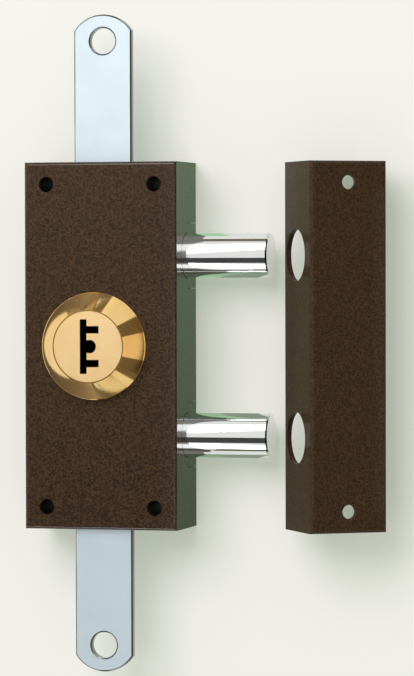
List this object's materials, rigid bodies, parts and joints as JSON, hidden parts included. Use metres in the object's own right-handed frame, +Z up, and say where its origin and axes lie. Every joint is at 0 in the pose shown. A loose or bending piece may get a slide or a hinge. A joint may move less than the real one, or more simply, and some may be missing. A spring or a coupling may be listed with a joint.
{
  "type": "multipoint lock",
  "caption": "Surface-mounted multipoint lock: painted steel case with a key cylinder, round side bolts, an upper and a lower bar, and a keeper box.",
  "frame": {"origin": "centre of the case's four fixing holes, on the plane of its back", "axes": "+X the way the side bolts throw, +Y into the door, +Z up along the bars; the lock is drawn locked"},
  "size_m": [0.1477, 0.0422, 0.2651],
  "materials": {
    "case_paint": "brown hammered enamel, semi-gloss",
    "keeper_paint": "brown enamel, gloss",
    "bolt_chrome": "polished chrome plate",
    "bar_zinc": "bright zinc plate",
    "head_brass": "turned and polished brass",
    "plug_brass": "fine-turned brass",
    "inner_steel": "plain steel",
    "bush_bronze": "sintered bronze"
  },
  "bodies": {
    "lock_case": {"case_cover": "case_paint", "rear_plate": "case_paint", "fixing_sleeves": "inner_steel", "bar_guide_posts": "inner_steel", "post_screws": "inner_steel", "rack_guide_pins": "inner_steel", "upper_bolt_guide": "bar_zinc", "lower_bolt_guide": "bar_zinc", "bolt_guide_rivets": "inner_steel", "cylinder_housing": "head_brass", "cylinder_lock_nut": "inner_steel", "cylinder_dowel": "inner_steel", "pinion_bush": "bush_bronze", "keeper_box": "keeper_paint"},
    "key_cylinder": {"key_plug": "plug_brass", "plug_wafers": "plug_brass", "wafer_springs": "inner_steel", "drive_pinion": "inner_steel", "pinion_screws": "inner_steel"},
    "upper_bar_body": {"upper_bar": "bar_zinc", "upper_rack": "inner_steel", "upper_bar_rivets": "inner_steel"},
    "lower_bar_body": {"lower_bar": "bar_zinc", "lower_rack": "inner_steel", "lower_bar_rivets": "inner_steel"},
    "upper_bolt_body": {"upper_bolt": "bolt_chrome", "upper_bolt_stud": "inner_steel"},
    "lower_bolt_body": {"lower_bolt": "bolt_chrome", "lower_bolt_stud": "inner_steel"}
  },
  "joints": [
    {"name": "key_turn", "type": "hinge", "parent": "lock_case", "child": "key_cylinder", "pos_m": [-0.0018, 0, 0], "axis": [0, 1, 0], "range_deg": [0, 360]},
    {"name": "upper_bar_slide", "type": "slide", "parent": "lock_case", "child": "upper_bar_body", "axis": [0, 0, 1], "range_m": [-0.018, 0]},
    {"name": "lower_bar_slide", "type": "slide", "parent": "lock_case", "child": "lower_bar_body", "axis": [0, 0, 1], "range_m": [0, 0.018]},
    {"name": "upper_bolt_slide", "type": "slide", "parent": "lock_case", "child": "upper_bolt_body", "axis": [1, 0, 0], "range_m": [-0.035, 0]},
    {"name": "lower_bolt_slide", "type": "slide", "parent": "lock_case", "child": "lower_bolt_body", "axis": [1, 0, 0], "range_m": [-0.035, 0]}
  ],
  "couplings": [
    {"joint": "upper_bar_slide", "follows": "key_turn", "m_per_rad": -0.0028648},
    {"joint": "lower_bar_slide", "follows": "key_turn", "m_per_rad": 0.0028648},
    {"joint": "upper_bolt_slide", "follows": "key_turn", "m_per_rad": -0.0055704},
    {"joint": "lower_bolt_slide", "follows": "key_turn", "m_per_rad": -0.0055704}
  ]
}
